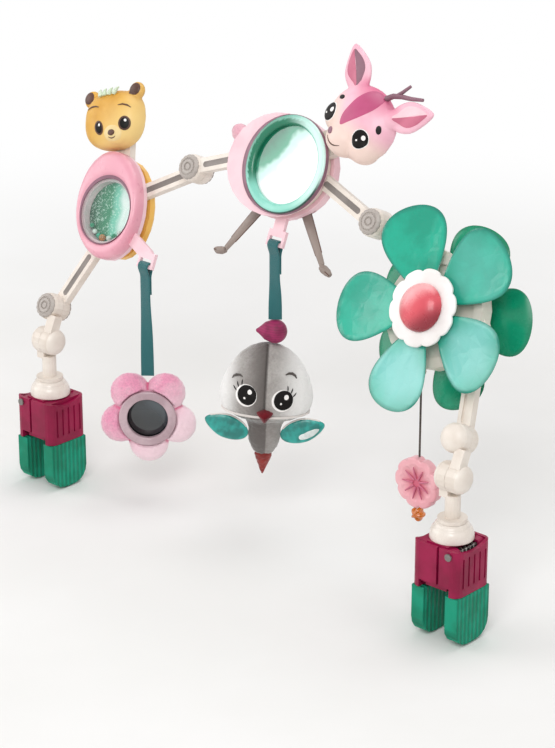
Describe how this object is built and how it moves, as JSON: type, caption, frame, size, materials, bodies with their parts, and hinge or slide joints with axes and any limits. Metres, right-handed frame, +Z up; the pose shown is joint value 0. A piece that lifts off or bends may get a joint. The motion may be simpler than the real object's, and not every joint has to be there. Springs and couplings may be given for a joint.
{
  "type": "pushchair play arch",
  "caption": "Jointed toy arch on two sprung clamps, with a petal spinner, a mirror deer, a rattle bear and hanging soft toys.",
  "frame": {"origin": "middle of the right clamp's throat roof, the flat face that rests on the rim", "axes": "+X from the left clamp to the right one, +Z up, faces look to -Y, the rims run along Y"},
  "size_m": [0.4465, 0.1186, 0.3679],
  "materials": {
    "cream_plastic": "satin",
    "fuchsia_plastic": "gloss",
    "green_rubber": "matte",
    "steel": "zinc plated",
    "teal_clear": "clear tinted",
    "green_plastic": "gloss",
    "white_plastic": "gloss",
    "coral_plastic": "gloss",
    "pink_plastic": "satin",
    "mint_plastic": "gloss",
    "mirror": "mirror film",
    "deer_pink": "satin",
    "taupe_plastic": "satin",
    "yellow_plastic": "satin",
    "emerald_card": "printed",
    "clear_plastic": "clear",
    "amber_plastic": "gloss",
    "webbing": "woven",
    "pink_plush": "plush",
    "grey_plush": "plush",
    "teal_satin": "satin",
    "red_felt": "felt",
    "rust_plush": "plush",
    "ring_plastic": "satin",
    "cord": "braided"
  },
  "bodies": {
    "right_clamp": {"right_housing": "cream_plastic", "right_inner_jaw": "fuchsia_plastic", "right_inner_pad": "green_rubber", "right_hinge_pin": "steel", "right_spring": "steel"},
    "right_jaw": {"right_outer_jaw": "fuchsia_plastic", "right_outer_pad": "green_rubber"},
    "right_post": {"right_post": "cream_plastic", "right_tilt_pin": "steel"},
    "right_link": {"right_link": "cream_plastic"},
    "flower_arm": {"flower_link": "cream_plastic", "right_arm_pin": "steel", "flower_deer_pin": "steel", "spinner_axle": "steel"},
    "front_wheel": {"front_petal_wheel": "teal_clear", "flower_collar": "white_plastic", "flower_dome": "coral_plastic"},
    "rear_wheel": {"rear_petal_wheel": "green_plastic"},
    "pendant": {"pendant_cord": "cord", "pendant_disc": "coral_plastic", "pendant_bead": "amber_plastic"},
    "deer_arm": {"deer_link": "cream_plastic", "deer_back_shell": "pink_plastic", "deer_front_shell": "pink_plastic", "deer_bezel": "mint_plastic", "deer_mirror": "mirror", "deer_head": "deer_pink", "deer_tail": "taupe_plastic"},
    "deer_left_leg": {"deer_left_leg": "taupe_plastic"},
    "deer_right_leg": {"deer_right_leg": "taupe_plastic"},
    "bird_toy": {"bird_strap": "webbing", "bird_ball": "fuchsia_plastic", "bird_body": "grey_plush", "bird_left_wing": "teal_satin", "bird_right_wing": "teal_satin", "bird_beak": "red_felt", "bird_tail": "rust_plush"},
    "bear_arm": {"bear_link": "cream_plastic", "bear_front_shell": "pink_plastic", "bear_back_shell": "yellow_plastic", "bear_insert": "emerald_card", "bear_window": "clear_plastic", "rattle_bead": "amber_plastic", "bear_head": "yellow_plastic", "deer_bear_pin": "steel", "left_arm_pin": "steel"},
    "flower_toy": {"flower_toy_strap": "webbing", "flower_toy_pad": "pink_plush", "flower_toy_ring": "ring_plastic", "flower_toy_mirror": "mirror"},
    "left_link": {"left_link": "cream_plastic"},
    "left_post": {"left_post": "cream_plastic", "left_tilt_pin": "steel"},
    "left_clamp": {"left_housing": "cream_plastic", "left_inner_jaw": "fuchsia_plastic", "left_inner_pad": "green_rubber", "left_hinge_pin": "steel", "left_spring": "steel"},
    "left_jaw": {"left_outer_jaw": "fuchsia_plastic", "left_outer_pad": "green_rubber"}
  },
  "joints": [
    {"name": "right_jaw_open", "type": "hinge", "parent": "right_clamp", "child": "right_jaw", "pos_m": [0.0125, 0, 0.028], "axis": [0, -1, 0], "range_deg": [0, 25], "stiffness_Nm_per_rad": 0.8, "springref_deg": -20.05},
    {"name": "right_swivel", "type": "hinge", "parent": "right_clamp", "child": "right_post", "pos_m": [0, 0, 0.077], "axis": [0, 0, 1], "range_deg": [-45, 45]},
    {"name": "right_tilt", "type": "hinge", "parent": "right_post", "child": "right_link", "pos_m": [0, 0, 0.077], "axis": [1, 0, 0], "range_deg": [-30, 30]},
    {"name": "right_arm_fold", "type": "hinge", "parent": "right_link", "child": "flower_arm", "pos_m": [-0.004, 0.01057, 0.10075], "axis": [0, -0.9135, 0.4067], "range_deg": [-25, 15]},
    {"name": "flower_deer_fold", "type": "hinge", "parent": "flower_arm", "child": "deer_arm", "pos_m": [-0.121, 0.06182, 0.21586], "axis": [0, -0.9135, 0.4067], "range_deg": [-30, 30]},
    {"name": "deer_bear_fold", "type": "hinge", "parent": "deer_arm", "child": "bear_arm", "pos_m": [-0.299, 0.0641, 0.22098], "axis": [0, -0.9135, 0.4067], "range_deg": [-25, 8]},
    {"name": "left_arm_fold", "type": "hinge", "parent": "bear_arm", "child": "left_link", "pos_m": [-0.404, 0.01057, 0.10075], "axis": [0, -0.9135, 0.4067], "range_deg": [-30, 12]},
    {"name": "left_tilt", "type": "hinge", "parent": "left_link", "child": "left_post", "pos_m": [-0.4, 0, 0.077], "axis": [1, 0, 0], "range_deg": [-30, 30]},
    {"name": "left_swivel", "type": "hinge", "parent": "left_post", "child": "left_clamp", "pos_m": [-0.4, 0, 0], "axis": [0, 0, 1], "range_deg": [-45, 45]},
    {"name": "left_jaw_open", "type": "hinge", "parent": "left_clamp", "child": "left_jaw", "pos_m": [-0.4125, 0, 0.028], "axis": [0, 1, 0], "range_deg": [0, 25], "stiffness_Nm_per_rad": 0.8, "springref_deg": -20.05},
    {"name": "front_petal_spin", "type": "hinge", "parent": "flower_arm", "child": "front_wheel", "pos_m": [-0.052, 0.0423, 0.17201], "axis": [0, -0.9135, 0.4067], "continuous": true},
    {"name": "rear_petal_spin", "type": "hinge", "parent": "flower_arm", "child": "rear_wheel", "pos_m": [-0.052, 0.0423, 0.17201], "axis": [0, -0.9135, 0.4067], "continuous": true},
    {"name": "pendant_swing", "type": "hinge", "parent": "flower_arm", "child": "pendant", "pos_m": [-0.052, 0.02837, 0.13224], "axis": [0, 1, 0], "range_deg": [-25, 25]},
    {"name": "left_leg_swing", "type": "hinge", "parent": "deer_arm", "child": "deer_left_leg", "pos_m": [-0.231, 0.05935, 0.21031], "axis": [0, -0.9135, 0.4067], "range_deg": [-20, 20]},
    {"name": "right_leg_swing", "type": "hinge", "parent": "deer_arm", "child": "deer_right_leg", "pos_m": [-0.19254, 0.06075, 0.21344], "axis": [0, -0.9135, 0.4067], "range_deg": [-20, 20]},
    {"name": "bird_swing", "type": "hinge", "parent": "deer_arm", "child": "bird_toy", "pos_m": [-0.2065, 0.04931, 0.1853], "axis": [1, 0, 0], "range_deg": [-30, 30]},
    {"name": "flower_toy_swing", "type": "hinge", "parent": "bear_arm", "child": "flower_toy", "pos_m": [-0.319, 0.02766, 0.14897], "axis": [1, 0, 0], "range_deg": [-30, 30]}
  ]
}
